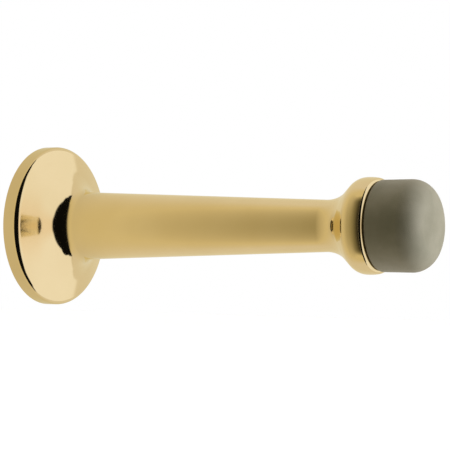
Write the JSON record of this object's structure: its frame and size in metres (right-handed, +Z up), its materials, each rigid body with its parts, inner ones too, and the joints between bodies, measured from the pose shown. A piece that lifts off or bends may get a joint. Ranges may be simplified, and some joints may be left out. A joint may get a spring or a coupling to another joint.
{
  "type": "wall door bumper",
  "caption": "Rigid wall door bumper: a polished brass post with a domed base, tapered shaft and flared cup that holds a crowned grey rubber bumper, screwed onto a hidden wall stud.",
  "frame": {"origin": "centre of the base's back face, in the plane of the wall", "axes": "+X out of the wall along the post's axis, towards the door; +Z up; +Y completes a right-handed frame"},
  "size_m": [0.1016, 0.0382, 0.0382],
  "materials": {
    "polished_brass": "polished and clear lacquered",
    "grey_rubber": "moulded, matt"
  },
  "bodies": {
    "root": {"brass_post": "polished_brass", "rubber_bumper": "grey_rubber"}
  },
  "joints": []
}
